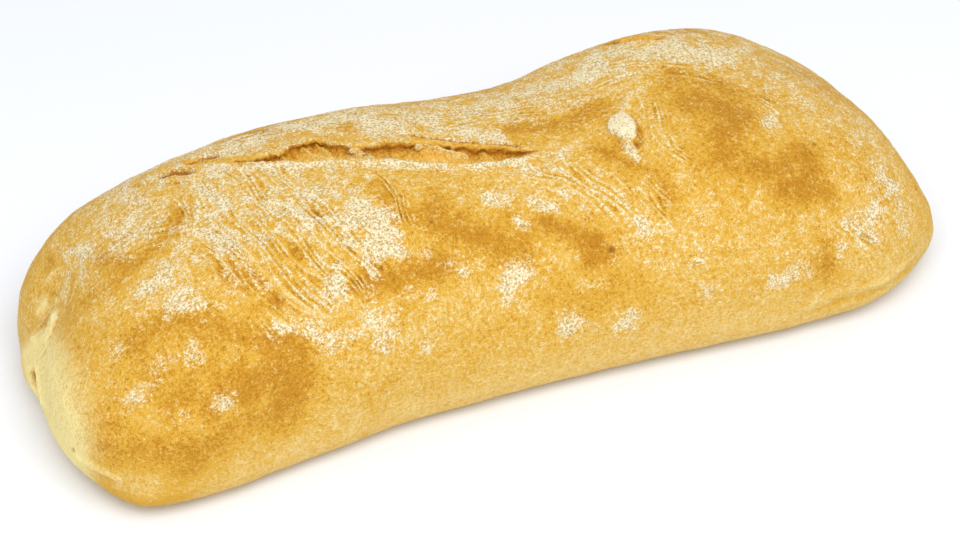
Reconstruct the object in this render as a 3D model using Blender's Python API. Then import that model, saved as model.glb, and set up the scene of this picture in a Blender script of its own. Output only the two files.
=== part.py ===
"""A whole ciabatta: one slipper-shaped loaf with two humps, a torn seam along its top and a flat sole.

X runs along the loaf, Y across it and Z up. The origin is on the surface it rests on, under the middle of the
loaf. The loaf is one solid: the browned skin, the flour and the pale patches belong to its surface.
"""

import math

import bmesh
import bpy
from mathutils import Matrix, Vector, noise
from mathutils.bvhtree import BVHTree

MM = 0.001

# Driving dimensions
LENGTH = 300 * MM
WIDTH = 120 * MM
HEIGHT = 70 * MM
EQUATOR = 14 * MM  # height of the widest line above the surface it rests on

# How square each corner of the plan is low down, and all of it at the crown: 2 is an ellipse, more is squarer
CORNERS = {"front_left": 7.2, "back_left": 4.6, "front_right": 5.0, "back_right": 4.8}
CROWN_CORNERS = 3.1

# The same for an upright section, above the widest line and below it
CROWN_POWER = 2.45
FOOT_POWER = 4.5
FOOT_CUT = 1.12  # how far the rounding below the widest line would reach, as a share of its height

# The quads of the box that the loaf is rounded from: along, across and up, and the share of those up that lie
# below the widest line
ALONG, ACROSS, UP = 66, 26, 10
FOOT_SHARE = 0.3

# The crown and both edges change along the loaf: (place along from -1 to 1, share of the driving dimension)
CROWN_LINE = [(-1, 0.93), (-0.6, 0.99), (-0.3, 0.98), (0, 0.88), (0.15, 0.86), (0.55, 1), (0.8, 1), (1, 0.93)]
FRONT_LINE = [
    (-1, 1), (-0.8, 1.04), (-0.5, 0.93), (-0.1, 0.92),
    (0.25, 0.96), (0.6, 1.03), (0.85, 1.06), (1, 1.07),
]
BACK_LINE = [
    (-1, 0.95), (-0.8, 1.03), (-0.5, 0.99), (-0.2, 0.95),
    (0.1, 0.96), (0.5, 1.05), (0.8, 1.07), (1, 1),
]

# Places where the dough bulges or is drawn in, in mm: where, how far round it reaches, and the move at its
# middle
PUSHES = [
    ((-149, -52, 8), 20, (4.6, 2, 0)),
    ((-137, -59, 2), 13, (-1.5, -4.6, 0)),
    ((-85, -57, 4), 20, (0, -2, 0)),
    ((-41, -55, 4), 18, (0, 1.6, 0)),
    ((20, -57, 4), 22, (0, 1.2, 0)),
    ((-147, 14, 36), 20, (8, 0, -1)),
    ((-150, 9, 12), 10, (-3.2, 0, 0)),
    ((-110, 56, 36), 22, (0, 1, 1)),
    ((-65, 40, 56), 30, (0, 1.5, 1.5)),
    ((-24, 36, 57), 16, (0, 0.8, 1.2)),
    ((46, 41, 54), 12, (0, 0.8, 0.8)),
    ((90, 36, 60), 32, (0, 1, 2.8)),
    ((110, 38, 52), 16, (0, 1, 1)),
    ((126, 22, 48), 20, (-1, -2, -2.4)),
    ((140, -8, 42), 22, (1, 0, 1.5)),
    ((150, -42, 12), 13, (4.2, -0.5, 0)),
    ((118, -64, 6), 20, (0, -2.5, 0)),
]

# Slow unevenness of hand-shaped dough
LUMP_SPACING = 55 * MM
LUMP_HEIGHT = 1.2 * MM

# Where the skin tore open, in mm: the lines of its near lip and of its far lip in plan, from left to right,
# and how deep it is. The far lip hangs over the floor of the tear.
TEARS = {
    "seam": {
        "near": [
            (-86, 27), (-69, 15), (-60, 11.2), (-43, 2.6), (-25, -4),
            (-13, -6.8), (2, -9.6), (10, -10.2), (18, -9.4),
        ],
        "far": [
            (-86, 28.4), (-77, 21.2), (-68, 17.4), (-58.7, 16), (-53.6, 18.4), (-49.5, 19.8), (-45.6, 17.2),
            (-43.2, 12.6), (-38, 8), (-32, 7), (-24, 7), (-14, 4.6), (-3, 0), (6, -4.6), (18, -8.6),
        ],
        "depth": 4.0 * MM,
    },
    "nick": {
        "near": [(64, 39.6), (69, 33.8), (74, 31), (80, 28.8)],
        "far": [(64, 40.3), (69, 36.4), (74, 34), (80, 29.6)],
        "depth": 2.0 * MM,
    },
}
FULL_GAPE = 4 * MM  # a tear that gapes less than this is shallower too
LEAST_DEPTH = 0.3  # share of the depth at a tear's ends
LIP_THICKNESS = 0.35  # share of the depth
OVERHANG = 0.6  # how far the floor runs in under the far lip, as a share of the depth
NEAR_FLOOR = 0.3  # how far the floor stays away from the near lip, as a share of the tear's width
TEAR_STATIONS = 44
CLEAR = 4 * MM  # how far a cutter stands out of the crust

# A pinch of dough that stands up from the right-hand hump, longer across the loaf than along it
KNOB_PLACE = (46.8, -10.9)
KNOB_RADIUS = 6 * MM
KNOB_LENGTHENED = 1.3
KNOB_RISE = 2.6 * MM

SHARP_ANGLE = math.radians(40)
CRUST_COLOUR = (0.76, 0.44, 0.09, 1.0)
CRUST_ROUGHNESS = 0.75


def eased(share):
    """A share from 0 to 1 that starts and ends gently."""
    share = min(max(share, 0), 1)
    return share * share * (3 - 2 * share)


def along_line(line, at):
    """The value of a line of (place, value) pairs at a place, eased between its points."""
    for (low, before), (high, after) in zip(line, line[1:]):
        if at <= high:
            return before + (after - before) * eased((at - low) / (high - low))
    return line[-1][1]


def corner_power(u, v, w):
    """How square the plan is at a place, mixed softly from its four corners and the crown."""
    right = 1 / (1 + math.exp(-12 * u))
    back = 1 / (1 + math.exp(-12 * v))
    front_side = CORNERS["front_left"] * (1 - right) + CORNERS["front_right"] * right
    back_side = CORNERS["back_left"] * (1 - right) + CORNERS["back_right"] * right
    low = front_side * (1 - back) + back_side * back
    return low + (CROWN_CORNERS - low) * eased(w)


def rounded(corner):
    """A point of a box from -1 to 1, drawn in to the loaf's rounded form."""
    u, v, w = corner
    power = CROWN_POWER if w > 0 else FOOT_POWER
    square = corner_power(u, v, w)
    plan = (abs(u) ** square + abs(v) ** square) ** (1 / square)
    shrink = (plan**power + abs(w) ** power) ** (-1 / power)
    return u * shrink, v * shrink, w * shrink


def loaf_point(corner):
    """Where a point of the box lies on the loaf."""
    u, v, up = corner
    climb = (up + 1) / 2
    w = climb / FOOT_SHARE - 1 if climb < FOOT_SHARE else (climb - FOOT_SHARE) / (1 - FOOT_SHARE)
    u, v, w = rounded((u, v, w))
    edge = FRONT_LINE if v < 0 else BACK_LINE
    x = u * LENGTH / 2
    y = v * WIDTH / 2 * along_line(edge, u)
    rise = (HEIGHT - EQUATOR) * along_line(CROWN_LINE, u) if w > 0 else EQUATOR * FOOT_CUT
    z = EQUATOR + w * rise
    if z > EQUATOR:
        z += LUMP_HEIGHT * noise.noise(Vector((x, y, z)) / LUMP_SPACING)
    point = Vector((x, y, z))
    for place, reach, move in PUSHES:
        near = (point - Vector(place) * MM).length / (reach * MM)
        point += Vector(move) * MM * math.exp(-near * near)
    point.z = max(point.z, 0)
    return point


def boxed(name, cuts, place):
    """An object made of a cube's skin, cut into rows and moved point by point."""
    mesh = bmesh.new()
    bmesh.ops.create_cube(mesh, size=2)
    for axis, rows in enumerate(cuts):
        edges = [e for e in mesh.edges if abs((e.verts[0].co - e.verts[1].co)[axis]) > 1e-6]
        if rows > 1:
            bmesh.ops.subdivide_edges(mesh, edges=edges, cuts=rows - 1, use_grid_fill=True)
    for vert in mesh.verts:
        vert.co = place(vert.co)
    return mesh_object(name, mesh)


def mesh_object(name, mesh):
    """A linked object that takes over a bmesh."""
    data = bpy.data.meshes.new(name)
    mesh.to_mesh(data)
    mesh.free()
    made = bpy.data.objects.new(name, data)
    bpy.context.scene.collection.objects.link(made)
    return made


def make_loaf():
    """The rounded loaf, its sole as one flat face."""
    loaf = boxed("loaf", (ALONG, ACROSS, UP), loaf_point)
    mesh = bmesh.new()
    mesh.from_mesh(loaf.data)
    sole = [f for f in mesh.faces if max(v.co.z for v in f.verts) < 1e-6]
    bmesh.ops.dissolve_faces(mesh, faces=sole)
    mesh.to_mesh(loaf.data)
    mesh.free()
    return loaf


def surface_height(tree, x, y):
    """How high the loaf is at a place in plan."""
    hit = tree.ray_cast(Vector((x, y, HEIGHT * 2)), Vector((0, 0, -1)))[0]
    return hit.z


def on_line(line, at):
    """The value of a line of (place, value) pairs at a place, straight between its points."""
    for (low, before), (high, after) in zip(line, line[1:]):
        if at <= high:
            return before + (after - before) * (at - low) / (high - low)
    return line[-1][1]


def make_tear(name, tear, tree):
    """A cutter along a tear: upright above the lips, and running in under the far one."""
    start, end = tear["near"][0][0], tear["near"][-1][0]
    depth = tear["depth"]

    def place(corner):
        at = start + (end - start) * (corner.x + 1) / 2
        near, far = on_line(tear["near"], at) * MM, on_line(tear["far"], at) * MM
        x, y = at * MM, far if corner.y > 0 else near
        full = min((far - near) / FULL_GAPE, 1)
        z = surface_height(tree, x, y)
        if corner.z > 0.5:
            return Vector((x, y, z + CLEAR))
        if corner.z > -0.5:
            return Vector((x, y, z - depth * LIP_THICKNESS * full))
        y += depth * OVERHANG * full if corner.y > 0 else (far - near) * NEAR_FLOOR
        return Vector((x, y, z - depth * max(full, LEAST_DEPTH)))

    return boxed(name, (TEAR_STATIONS, 1, 2), place)


def make_knob(tree):
    """A low ball of dough sunk in the crust."""
    x, y = [value * MM for value in KNOB_PLACE]
    middle = Vector((x, y, surface_height(tree, x, y) + KNOB_RISE - KNOB_RADIUS))
    mesh = bmesh.new()
    bmesh.ops.create_icosphere(mesh, subdivisions=3, radius=KNOB_RADIUS)
    bmesh.ops.scale(mesh, vec=(1, KNOB_LENGTHENED, 1), verts=mesh.verts)
    bmesh.ops.translate(mesh, verts=mesh.verts, vec=middle)
    return mesh_object("knob", mesh)


def combine(loaf, tool, operation):
    """A tool joined to the loaf or cut from it, and used up."""
    modifier = loaf.modifiers.new(tool.name, "BOOLEAN")
    modifier.operation = operation
    modifier.object = tool
    modifier.solver = "EXACT"
    evaluated = loaf.evaluated_get(bpy.context.evaluated_depsgraph_get())
    loaf.data = bpy.data.meshes.new_from_object(evaluated)
    loaf.modifiers.clear()
    bpy.data.objects.remove(tool)


def centre(loaf):
    """The mesh moved so that the origin lies under the middle of its box."""
    low, high = Vector(loaf.bound_box[0]), Vector(loaf.bound_box[6])
    loaf.data.transform(Matrix.Translation((-(low.x + high.x) / 2, -(low.y + high.y) / 2, -low.z)))


def crust_material():
    material = bpy.data.materials.new("baked_crust")
    material.use_nodes = True
    shader = material.node_tree.nodes["Principled BSDF"]
    shader.inputs["Base Color"].default_value = CRUST_COLOUR
    shader.inputs["Roughness"].default_value = CRUST_ROUGHNESS
    shader.inputs["Metallic"].default_value = 0.0
    return material


def main():
    for old in list(bpy.data.objects):
        bpy.data.objects.remove(old)
    loaf = make_loaf()
    mesh = bmesh.new()
    mesh.from_mesh(loaf.data)
    tree = BVHTree.FromBMesh(mesh)
    mesh.free()
    combine(loaf, make_knob(tree), "UNION")
    for name, tear in TEARS.items():
        combine(loaf, make_tear(name, tear, tree), "DIFFERENCE")
    centre(loaf)
    loaf.data.materials.append(crust_material())
    loaf.data.shade_smooth()
    loaf.data.set_sharp_from_angle(angle=SHARP_ANGLE)


main()
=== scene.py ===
"""A whole ciabatta: a golden, flour-dusted crust with a torn seam along its top, on a white studio floor.

Lengths in the lists below are in millimetres, in the part's own frame: X along the loaf, Y across it, Z up.
"""

import math

import bmesh
import bpy
import numpy as np
from bpy.props import FloatProperty, FloatVectorProperty, IntProperty, PointerProperty
from mathutils import Matrix, Vector, noise
from mathutils.bvhtree import BVHTree


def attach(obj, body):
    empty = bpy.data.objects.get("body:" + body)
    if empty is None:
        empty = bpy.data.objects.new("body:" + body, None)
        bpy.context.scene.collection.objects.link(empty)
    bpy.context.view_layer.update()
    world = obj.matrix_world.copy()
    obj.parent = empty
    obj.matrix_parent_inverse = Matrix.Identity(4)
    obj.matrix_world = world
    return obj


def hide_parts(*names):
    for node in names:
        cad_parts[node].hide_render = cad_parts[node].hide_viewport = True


bl_info = {
    "name": "Ciabatta",
    "version": (1, 0, 0),
    "blender": (4, 5, 0),
    "location": "View3D > Sidebar > Ciabatta",
    "description": "Shapes and bakes a ciabatta around its packed model",
    "category": "Object",
}

MM = 0.001

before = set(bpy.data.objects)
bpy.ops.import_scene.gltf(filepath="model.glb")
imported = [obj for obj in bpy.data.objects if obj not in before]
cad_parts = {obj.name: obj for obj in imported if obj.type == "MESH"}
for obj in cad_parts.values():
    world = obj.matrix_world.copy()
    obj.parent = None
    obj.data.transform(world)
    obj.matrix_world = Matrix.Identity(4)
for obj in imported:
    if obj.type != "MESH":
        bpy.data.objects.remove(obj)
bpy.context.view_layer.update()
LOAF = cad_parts["loaf"]

# Where the skin tore open, as the solid has it: the lines of its near and far lip in plan, how deep it is,
# and how far its floor runs in under the far lip. The skin is bare in strips behind the far lip: where along
# the tear, half a strip's length, and its width.
TEARS = {
    "seam": {
        "near": [
            (-86, 27), (-69, 15), (-60, 11.2), (-43, 2.6), (-25, -4), (-13, -6.8), (2, -9.6), (10, -10.2),
            (18, -9.4),
        ],
        "far": [
            (-86, 28.4), (-77, 21.2), (-68, 17.4), (-58.7, 16), (-53.6, 18.4), (-49.5, 19.8), (-45.6, 17.2),
            (-43.2, 12.6), (-38, 8), (-32, 7), (-24, 7), (-14, 4.6), (-3, 0), (6, -4.6), (18, -8.6),
        ],
        "depth": 4.0,
        "overhang": 2.4,
        "strips": [(6, 16, 3.4), (84, 15, 3.2)],
    },
    "nick": {
        "near": [(64, 39.6), (69, 33.8), (74, 31), (80, 28.8)],
        "far": [(64, 40.3), (69, 36.4), (74, 34), (80, 29.6)],
        "depth": 2.0,
        "overhang": 1.2,
        "strips": [(8, 9, 4.5)],
    },
}
TEAR_ORIGIN = (-0.08, -0.43)  # how far the solid stands off the origin of the lips' lines

# Strands of torn dough that still bridge the seam: start, end, how wide, how high and how floury
STRANDS = [
    ((-52, 17), (-47, 5), 1.0, 2.4, 0.35),
    ((-47, 18), (-44, 5), 0.9, 2.4, 0.3),
    ((-38, 9), (-35, -2), 1.9, 3.6, 0.7),
    ((-28, 8), (-30, -3), 0.8, 1.5, 0.1),
    ((-18, 6), (-5, -4), 1.3, 3.8, 0.7),
    ((-22, 5), (-20, -6), 0.7, 1.2, 0.1),
    ((1, 0), (4, -9), 0.9, 1.8, 0.2),
    ((-59, 16), (-57, 10), 0.9, 1.8, 0.3),
]

# Bands where the skin was drawn into wrinkles as it was stretched: the band's reach each side, the spacing
# of the wrinkles across it, their height, and a line down the band
WRINKLES = [
    # down the front of the left half, from the seam
    (21, 2.2, 0.4, (-80, 18, 63), (-78, 2, 65), (-75, -13, 65), (-71, -26, 63), (-67, -36, 59),
     (-61, -46, 49)),
    (5, 2.2, 0.3, (-46, 0, 68), (-39, -10, 68), (-36, -20, 66), (-38, -32, 62)),
    # down to the waist
    (9, 2.3, 0.26, (8, -14, 62), (22, -21, 60), (30, -32, 57), (35, -42, 52), (39, -49, 45)),
    (4, 2.0, 0.3, (42, -29, 60), (47, -39, 55), (51, -47, 50)),
    # round the pinch of dough on the right-hand hump
    (7, 2.0, 0.15, (61, 6, 66), (57, -6, 66), (54, -17, 64), (55, -26, 63), (60, -36, 59)),
    # along the crown of that hump, and round its end
    (13, 2.4, 0.14, (44, 16, 64), (63, 13, 66), (79, 5, 66), (93, -5, 62), (104, -17, 58)),
    (5, 2.4, 0.2, (103, -51, 43), (112, -57, 33), (121, -60, 21), (126, -59, 13)),
    # behind the seam, beside it on the left, and at the pale end
    (9, 2.2, 0.16, (-96, 30, 58), (-76, 30, 63), (-60, 30, 63), (-40, 27, 64), (-17, 22, 63), (5, 17, 62),
     (30, 15, 61)),
    (10, 2.2, 0.18, (-120, 14, 52), (-106, 8, 58), (-96, 0, 61)),
    (9, 3.4, 0.35, (-149, 5, 18), (-145, 7, 30), (-139, 12, 38), (-130, 15, 45)),
    # on the back, which is out of sight
    (9, 2.4, 0.3, (20, 45, 55), (45, 52, 50), (80, 54, 50)),
    (9, 2.4, 0.3, (-120, 45, 40), (-98, 52, 42), (-70, 50, 46)),
    (10, 2.6, 0.2, (134, 30, 36), (142, 6, 36), (141, -20, 34)),
]
WRINKLE_STRETCH = 26  # how long a wrinkle is

# A pinch of dough with flour on it: its middle, and half its width and half its length
PINCH = (46.0, -11.8, 3.7, 6.2)

# Narrow cracks and folds: half the width, the depth (a ridge's is negative), how much darker the material
# paints it, partly the crack's own brown and partly painted shade (a ridge's is negative and lightens it),
# and its line
CREASES = [
    # fine ridges among the wrinkles of the left half
    (0.9, -0.6, -0.9, (-85, -13, 63), (-81.5, -30, 60), (-76, -39, 55), (-69, -46, 50)),
    (0.8, -0.5, -0.7, (-82, -12, 64), (-78.5, -29, 61), (-73.5, -39, 56)),
    (1.0, 0.5, 0.7, (-87.5, -14, 62.5), (-84, -30, 59), (-79, -40, 54)),
    (0.7, -0.4, -0.6, (-72, -3, 66), (-67, -9, 66), (-63, -15, 66)),
    (0.7, -0.4, -0.6, (-66, -13, 66), (-61, -22, 65), (-58, -30, 62)),
    # cracks that lead up to the seam, and the one behind its right-hand part
    (1.3, 1.8, 2.2, (-88, 29, 62), (-84, 28.5, 62), (-81, 28, 62), (-76, 26, 63)),
    (1.4, 1.8, 2.2, (-97, 29.5, 59), (-92, 26, 61), (-86, 21.5, 62)),
    (0.8, 0.7, 0.8, (-109, 35, 52), (-102, 28, 58), (-96, 22, 61), (-90, 17, 62)),
    (0.9, 0.8, 1.4, (-24, 11.5, 65), (-14, 8, 64.5), (-4, 3, 63.5), (6, -2.5, 63), (14, -6.5, 62.5)),
    # the near lip of the small tear on the hump's back
    (1.1, 1.3, 2.2, (63.5, 39.5, 59.6), (69, 33.6, 62.6), (74, 30.4, 64), (80, 28.2, 65)),
    # the pocket and the folds of the left end
    (2.0, 4, 2.6, (-150, 5, 14.8), (-150, 1, 14), (-149.8, -4, 12.6), (-149.6, -7, 11)),
    (1.8, -1.4, -1.0, (-149, 2, 20), (-149, -3, 19), (-149.5, -9, 17), (-149.5, -15, 15)),
    (1.0, -0.7, -0.7, (-138, 23, 32), (-134, 22, 37), (-132, 18, 39)),
    (1.0, -0.7, -0.7, (-143, 18, 24), (-139, 17, 30), (-136, 13, 33.5)),
    (1.2, -0.9, -0.9, (-138, 10, 31), (-140, 4, 30), (-142.5, 3, 27), (-145, 9, 22), (-146, 14, 20)),
    (1.2, -0.9, -0.8, (-147, -37, 15), (-142, -47, 17), (-136, -55, 16)),
    # the rim above the foot of the right-hand half
    (1.3, -0.6, -0.4, (88, -62, 13), (104, -63, 16), (113, -62, 15), (121, -61, 15), (130, -57, 16),
     (142, -48, 15)),
    (1.3, 0.4, 0.4, (88, -62, 9), (104, -62, 12), (113, -62, 11), (121, -60, 11), (130, -57, 12),
     (142, -48, 11)),
    # the skin drawn up to the pinch of dough
    (1.1, -0.8, -0.8, (45, -17, 64), (45, -20, 63), (45, -26, 61.5)),
    (0.8, 0.6, 0.7, (47, -17, 64), (47.5, -21, 62.5), (47.5, -27, 61)),
    (1.4, -0.8, -0.6, (57, 5, 66), (53, -1, 65), (50, -6, 65)),
]

# Where the oven browned the skin most: reach, strength, and a place or a line of places
BROWNED = [
    # the front and the crown of the left half
    (5.5, 0.8, (-122, -32, 47), (-115, -31, 50), (-107, -34, 52), (-99, -39, 52), (-90, -45, 49),
     (-77, -50, 44)),
    (8, 1.0, (-95, -54, 38), (-88, -52, 40), (-81, -54, 36), (-85, -56, 30)),
    (3.4, 0.8, (-95, -54.5, 38), (-91, -53, 40)),
    (7.5, 0.8, (-138, -46, 32), (-141, -48, 24), (-130, -56, 27), (-112, -60, 24), (-118, -61, 19)),
    (6, 0.3, (-137, -1, 41), (-136, -19, 42), (-131, -36, 42), (-127, -39, 43)),
    (5, 0.8, (-118, -52, 39), (-110, -54, 38), (-109, -57, 35)),
    (6, 0.6, (-102, -59, 28), (-88, -57, 24)),
    (9, 0.5, (-120, -45, 43), (-104, -48, 44)),
    (6, 0.35, (-79, -30, 61), (-73, -38, 57)),
    (4.5, 0.7, (-128, -5, 48), (-122, -8, 51)),
    (4.5, 0.8, (-122, 6, 51), (-116, -5, 54), (-108, -5, 57), (-102, -3, 60), (-96, 4, 61)),
    (3.4, 0.9, (-134.5, 27, 37)),
    (2.6, 0.8, (-137, 17, 32.5)),
    (2.6, 0.9, (-142, 12, 26)),
    (4, 0.8, (-91, -26, 60), (-87, -32, 58)),
    (4, 0.8, (-81, -39, 54)),
    (5, 0.7, (-69, -29, 62)),
    (4, 0.7, (-60, -17, 66)),
    (5, 0.7, (-35, 20, 66)),
    # the middle
    (6, 0.95, (-53, -42, 55), (-41, -43, 55), (-29, -42, 54)),
    (4.5, 0.75, (-38, -15, 67), (-37, -26, 65), (-28, -29, 62), (-23, -23, 64)),
    (7, 1.0, (-21, -32, 60), (-14, -37, 56), (-8, -39, 54)),
    (4.5, 0.6, (-1, -31, 58), (0, -42, 51)),
    (5, 1.0, (8, -36, 55), (15, -40, 52), (23, -44, 49), (18, -48, 46)),
    (3.5, 0.8, (26, -48, 46)),
    (5, 0.8, (15, 4, 62), (32, -1, 62), (44, 3, 64)),
    (3.5, 0.8, (35, -16, 62), (42, -26, 61), (48, -31, 60), (50, -40, 55)),
    (6, 0.4, (5, -50, 42), (16, -54, 34), (33, -54, 36)),
    # the right half
    (9, 0.95, (73, -8, 65), (84, -19, 63), (74, -26, 62), (71, -33, 60)),
    (5.5, 0.6, (73, 5, 66), (86, -2, 64)),
    (6, 1.0, (81, -38, 57), (90, -39, 54), (100, -35, 55), (99, -43, 50), (87, -45, 51), (103, -46, 46)),
    (4.5, 0.6, (98, -10, 61)),
    (8, 0.25, (118, -34, 50), (124, -48, 40)),
    (4, 0.7, (97, -58, 33), (98, -61, 23)),
    # below the folds at the foot
    (4, 0.7, (-139, -51, 9), (-132, -57, 8), (-120, -61, 8)),
    # the back, which is out of sight
    (17, 0.6, (-60, 40, 55)),
    (18, 0.7, (90, 40, 52)),
    (15, 0.5, (20, 45, 50)),
    (14, 0.5, (130, 6, 50)),
]

# Where flour clung: reach, how thick it lies, and a place or a line of places
FLOURED = [
    # beside the seam, and behind it
    (3.2, 0.9, (-74, 14, 65), (-50, 3, 68)),
    (2.8, 0.8, (-41, -3, 68), (-14, -10, 65)),
    (4, 0.6, (-50, -3, 67)),
    (6, 1.0, (-72, 27, 63), (-63, 27, 64)),
    (7, 1.0, (-50, 31, 63), (-38, 27, 64), (-26, 23, 64)),
    (5.5, 1.0, (-29, 16, 66), (-22, 16, 65)),
    (5.5, 0.9, (-13, 20, 63), (-8, 12, 63)),
    (4, 1.0, (-2, 9, 63), (8, 1, 63)),
    (6, 0.8, (4, 19, 62), (14, 22, 60)),
    (5, 1.0, (25, 24, 59), (39, 21, 61), (51, 22, 63)),
    (5, 1.0, (58, 31, 62), (51, 26, 63)),
    # the crown of the left half
    (5, 0.9, (-80, 24, 63), (-82, 17, 64)),
    (4.5, 0.95, (-87, 12, 63), (-83, -1, 64)),
    (5, 0.95, (-91, -8, 62), (-89, -16, 62)),
    (4.5, 0.9, (-78, -20, 64)),
    (4, 0.95, (-72, -6, 66), (-68, -12, 66), (-62, -20, 65)),
    (4, 0.6, (-64, -25, 64)),
    (4.5, 0.85, (-61, -6, 67), (-53, -10, 67)),
    (7, 1.0, (-49, -23, 66), (-42, -27, 64)),
    (4.5, 0.95, (-46, -19, 67)),
    (4.5, 0.95, (-48, -32, 62), (-49, -36, 60)),
    (3.4, 0.8, (-44, -35, 60), (-40, -37, 59)),
    (4, 0.8, (-55, -30, 63)),
    (3.4, 0.95, (-60, -36, 59), (-62, -41, 55)),
    (5, 1.0, (-130, 20, 46), (-126, 16, 48)),
    (4.5, 0.7, (-117, 7, 54)),
    (4.5, 0.65, (-118, 20, 53), (-109, 8, 57)),
    (4, 0.9, (-109, 28, 55), (-105, 18, 58)),
    (4.5, 0.95, (-110, -16, 55), (-114, -17, 54)),
    (4, 0.6, (-105, -13, 58), (-101, -9, 59)),
    (4, 0.85, (-103, -26, 56), (-103, -30, 55), (-109, -26, 54)),
    # the front of the left half
    (3.8, 0.85, (-128, -46, 39)),
    (3.4, 0.95, (-104, -56, 37)),
    (4, 0.65, (-115, -56, 36)),
    (4, 0.7, (-107, -44, 46)),
    (4.5, 0.6, (-118, -42, 45)),
    (4, 0.65, (-128, -30, 45)),
    (4.5, 0.85, (-53, -50, 46)),
    (3, 0.85, (-54, -52, 40)),
    (2.5, 0.95, (-49, -52, 42)),
    (5, 0.65, (-65, -50, 45)),
    (3, 0.95, (-72, -49, 46)),
    (3.4, 0.7, (-78, -46, 48), (-84, -45, 50)),
    # the middle
    (4, 0.7, (-39, -54, 35)),
    (3, 0.7, (-34, -47, 49)),
    (3.6, 0.75, (-22, -44, 51)),
    (3, 0.7, (-32, -38, 58)),
    (4, 1.0, (-5, -46, 47), (-9, -48, 44)),
    (4, 0.95, (-7, -25, 61), (-1, -26, 60)),
    (4.5, 0.8, (9, -30, 58)),
    (4, 0.9, (18, -29, 58)),
    (4, 0.8, (9, -15, 62), (14, -19, 61)),
    (4.5, 0.7, (23, -14, 61)),
    (3, 0.8, (1, -35, 56)),
    (4.5, 1.0, (8, -55, 28)),
    (4.5, 0.85, (28, -57, 25)),
    (3, 0.8, (38, -43, 51), (39, -46, 49)),
    (3.4, 0.85, (35, -37, 56)),
    # the right half
    (5.5, 1.0, (63, 27, 64), (72, 22, 66), (93, 15, 63)),
    (4, 0.75, (78, 14, 66), (90, 9, 64)),
    (4, 0.7, (80, 27, 65)),
    (4.5, 0.6, (99, 12, 61), (110, 13, 56)),
    (5, 0.55, (112, -2, 57), (112, -16, 56)),
    (3, 0.8, (98, -19, 60), (93, -24, 60)),
    (6, 0.55, (134, -14, 46), (130, -28, 46)),
    (4, 0.9, (125, -43, 42), (131, -44, 38)),
    (3.4, 0.95, (120, -50, 38), (115, -55, 35), (116, -57, 31)),
    (3.4, 0.7, (106, -54, 38), (111, -54, 37)),
    (4.5, 0.65, (131, -49, 34), (130, -53, 28)),
    (3.4, 0.7, (103, -58, 31)),
    (3.4, 1.0, (78, -60, 27)),
    (4, 0.7, (87, -60, 29)),
    (2.5, 0.95, (53, -54, 39)),
    (4, 0.65, (55, -58, 29)),
    # the skin drawn up to the pinch of dough
    (1.8, 0.8, (56, 3, 66), (51, -3, 65)),
    (1.8, 0.9, (44.5, -19, 63), (45, -25, 62)),
]

# Where a thin haze of flour is left: reach, how much of it, and a place or a line of places
HAZY = [
    (14, 0.85, (-100, 32, 56), (-60, 34, 62), (-25, 26, 61), (10, 20, 60), (45, 22, 63)),
    (12, 0.9, (66, 26, 64), (85, 22, 64), (105, 14, 59)),
    (16, 0.5, (-125, 14, 48), (-100, 0, 60), (-80, -5, 65), (-60, -10, 66)),
    (12, 0.35, (-104, -18, 57), (-85, -28, 61)),
    (12, 0.4, (122, -20, 50), (128, -42, 40), (112, -56, 32), (90, -59, 30)),
    (11, 0.45, (106, -8, 60), (116, 0, 55), (124, 6, 50)),
    (10, 0.15, (60, -50, 48), (30, -50, 42), (0, -48, 46)),
    (8, 0.4, (-65, -45, 52), (-45, -48, 48)),
    (10, 0.25, (5, -22, 60), (25, -25, 59)),
    (24, 0.6, (120, 30, 48), (60, 50, 50), (-20, 50, 48), (-100, 48, 44)),
]

# Where the dough stayed pale, squeezed against its neighbour in the oven: reach, how pale, and a place or a
# line of places
PALE = [
    (10, 1.0, (-150, -2, 14), (-150, -12, 18), (-149.5, -22, 16), (-147.5, -34, 14)),
    (10, 0.85, (-147, -8, 28), (-146, -26, 27), (-144, -36, 22)),
    (13, 0.25, (-142, -22, 34), (-140, -38, 28)),
    (6, 0.7, (-149, 12, 15), (-147, 9, 20), (-144, 4, 26)),
    (5, 0.5, (-140, 17, 28), (-138, 9, 31)),
    (14, 0.5, (150, 12, 20)),
]

# Small burst bubbles that browned dark: place and how wide
BUBBLES = [
    (106, -32, 55, 0.9), (26.5, -47, 47, 1.2), (-27, -30, 62, 0.5), (9, -55, 31, 0.5), (-127, 1, 48, 0.9),
    (-147, -38, 17, 0.8), (70, 30, 63, 0.6),
]

# Layers of unevenness, each with the spacing of its swells, its strength and the seed of its noise
DOUGH_SWELLS = [(26, 1.0, 5), (9, 0.5, 6)]
SKIN_PEBBLES = [(3.4, 1.0, 7), (1.8, 0.6, 8)]
RAGGED_LIPS = [(8, 1.0, 18), (4.5, 0.7, 1), (1.9, 0.5, 2)]
TORN_CRUMB = [(2.6, 0.6, 4), (1.3, 0.3, 17)]
PATCH_RIMS = [(7, 0.75, 9), (2.8, 0.65, 10)]
FLOUR_PATCHES = [(5, 1.1, 13), (2.2, 0.7, 14)]
PINCH_OUTLINE = [(4, 0.25, 120), (1.6, 0.12, 121)]

# How a tear's lips curl up and how they hold flour: how far outside each lip, over what reach, how strongly
LIP_CURL = {"near_lip": (1.4, 1.1, 0.65), "far_lip": (1.2, 1.2, 0.4)}
LIP_FLOUR = {"near_lip": (1.8, 2.4, 0.9), "far_lip": (1.2, 1.6, 0.5)}

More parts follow.
